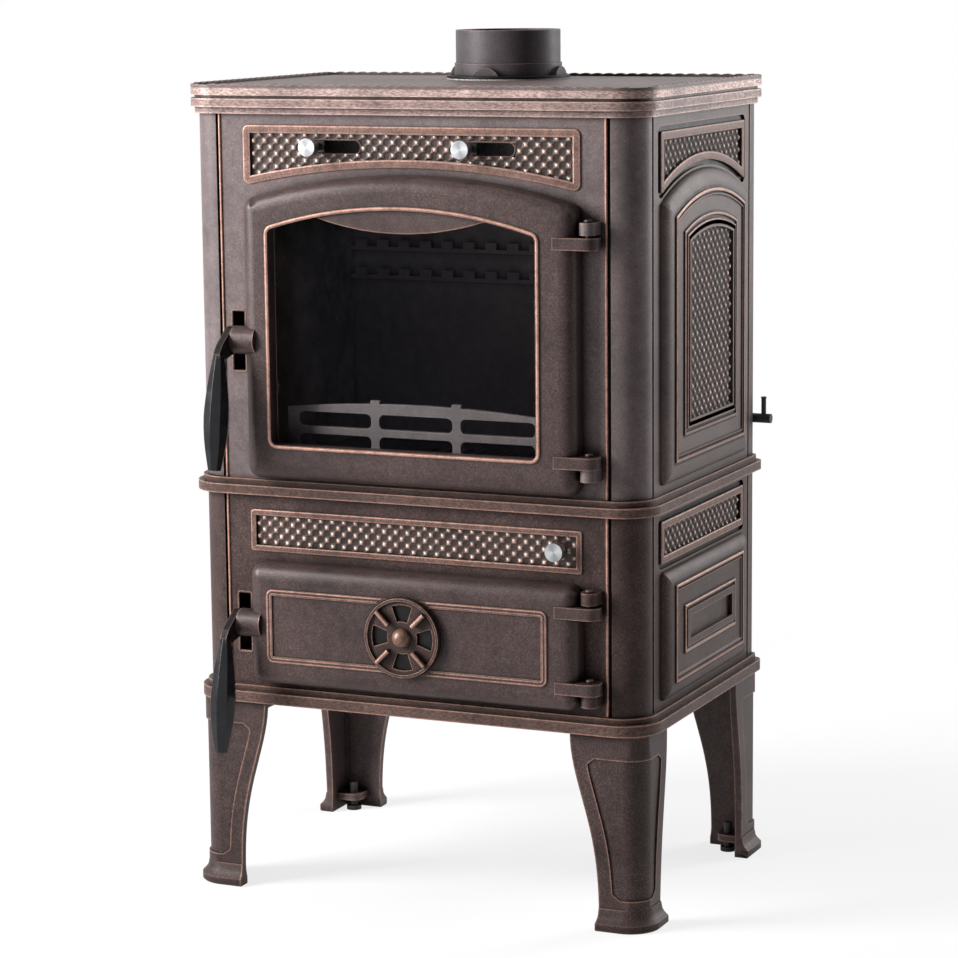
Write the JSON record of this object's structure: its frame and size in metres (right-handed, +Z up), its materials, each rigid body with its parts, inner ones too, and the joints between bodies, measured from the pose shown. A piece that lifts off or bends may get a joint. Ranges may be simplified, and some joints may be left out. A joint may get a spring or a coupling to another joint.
{
  "type": "cast iron stove",
  "caption": "Free-standing cast iron stove on cabriole legs, with a glazed arched fire door, ash door with spin valve, air slides and a flue spigot.",
  "frame": {"origin": "on the floor, at the middle of the whole stove's plan, handles and rear shaft included", "axes": "+X to the right as the stove is faced, +Y to its back, +Z up"},
  "size_m": [0.561, 0.4486, 0.9535],
  "materials": {
    "cast_iron": "bronze-brown patina rubbed copper on raised edges",
    "black_iron": "black heat-resistant paint",
    "steel": "plain steel",
    "satin_knob": "satin turned metal",
    "glass": "clear heat-resistant glass",
    "liner": "sooted firebrick",
    "rope": "braided glass-fibre rope",
    "grip": "glossy black faceted"
  },
  "bodies": {
    "stove": {"top_plate": "cast_iron", "cornice": "cast_iron", "flue_collar": "cast_iron", "flue_collar_screws": "steel", "flue_gasket": "rope", "upper_front_plate": "cast_iron", "lower_front_plate": "cast_iron", "upper_back_plate": "cast_iron", "lower_back_plate": "cast_iron", "upper_left_side_plate": "cast_iron", "upper_right_side_plate": "cast_iron", "lower_left_side_plate": "cast_iron", "lower_right_side_plate": "cast_iron", "upper_front_posts": "cast_iron", "lower_front_posts": "cast_iron", "middle_band": "cast_iron", "base_frame": "cast_iron", "base_plate": "black_iron", "front_left_leg": "cast_iron", "front_right_leg": "cast_iron", "rear_left_leg": "cast_iron", "rear_right_leg": "cast_iron", "leg_bolts": "steel", "levelling_screws": "steel", "tie_rods": "steel", "tie_rod_nuts": "steel", "hearth_plate": "black_iron", "grate": "black_iron", "left_liner": "liner", "right_liner": "liner", "back_liner": "black_iron", "baffle_plate": "liner", "log_guard": "black_iron", "ash_pan": "steel", "ash_pan_runners": "black_iron", "airwash_duct": "steel", "shutter_rails": "black_iron", "latch_pockets": "black_iron", "latch_pocket_screws": "steel", "hinge_pins": "cast_iron"},
    "fire_door": {"fire_door": "cast_iron", "window_gasket": "rope", "window_glass": "glass", "glass_clips": "steel", "glass_clip_screws": "steel", "fire_door_rope_seal": "rope", "fire_door_latch_pin": "steel"},
    "fire_door_latch": {"fire_door_latch": "black_iron", "fire_door_grip": "grip"},
    "ash_door": {"ash_door": "cast_iron", "ash_door_rope_seal": "rope", "ash_door_latch_pin": "steel", "spin_valve_bolt": "cast_iron"},
    "ash_door_latch": {"ash_door_latch": "black_iron", "ash_door_grip": "grip"},
    "spin_valve": {"spin_valve": "cast_iron"},
    "left_air_slide": {"left_air_slide": "satin_knob"},
    "right_air_slide": {"right_air_slide": "satin_knob"},
    "riddling_grate": {"riddling_grate": "black_iron"},
    "rear_air_flap": {"rear_air_flap": "black_iron"}
  },
  "joints": [
    {"name": "fire_door_hinge", "type": "hinge", "parent": "stove", "child": "fire_door", "pos_m": [0.212, -0.16642, 0.62], "axis": [0, 0, 1], "range_deg": [0, 110]},
    {"name": "fire_door_latch_turn", "type": "hinge", "parent": "fire_door", "child": "fire_door_latch", "pos_m": [-0.208, -0.16942, 0.624], "axis": [-1, 0, 0], "range_deg": [-10, 30]},
    {"name": "ash_door_hinge", "type": "hinge", "parent": "stove", "child": "ash_door", "pos_m": [0.212, -0.16642, 0.309], "axis": [0, 0, 1], "range_deg": [0, 110]},
    {"name": "ash_door_latch_turn", "type": "hinge", "parent": "ash_door", "child": "ash_door_latch", "pos_m": [-0.208, -0.16942, 0.3085], "axis": [-1, 0, 0], "range_deg": [-10, 30]},
    {"name": "spin_valve_turn", "type": "hinge", "parent": "ash_door", "child": "spin_valve", "pos_m": [0, -0.18143, 0.30875], "axis": [0, -1, 0], "range_deg": [0, 45]},
    {"name": "left_air_slide_travel", "type": "slide", "parent": "stove", "child": "left_air_slide", "axis": [1, 0, 0], "range_m": [0, 0.042]},
    {"name": "right_air_slide_travel", "type": "slide", "parent": "stove", "child": "right_air_slide", "axis": [1, 0, 0], "range_m": [0, 0.042]},
    {"name": "riddling_travel", "type": "slide", "parent": "stove", "child": "riddling_grate", "axis": [0, -1, 0], "range_m": [0, 0.04]},
    {"name": "rear_air_flap_turn", "type": "hinge", "parent": "stove", "child": "rear_air_flap", "pos_m": [0.2, 0.21557, 0.508], "axis": [1, 0, 0], "range_deg": [0, 60]}
  ]
}
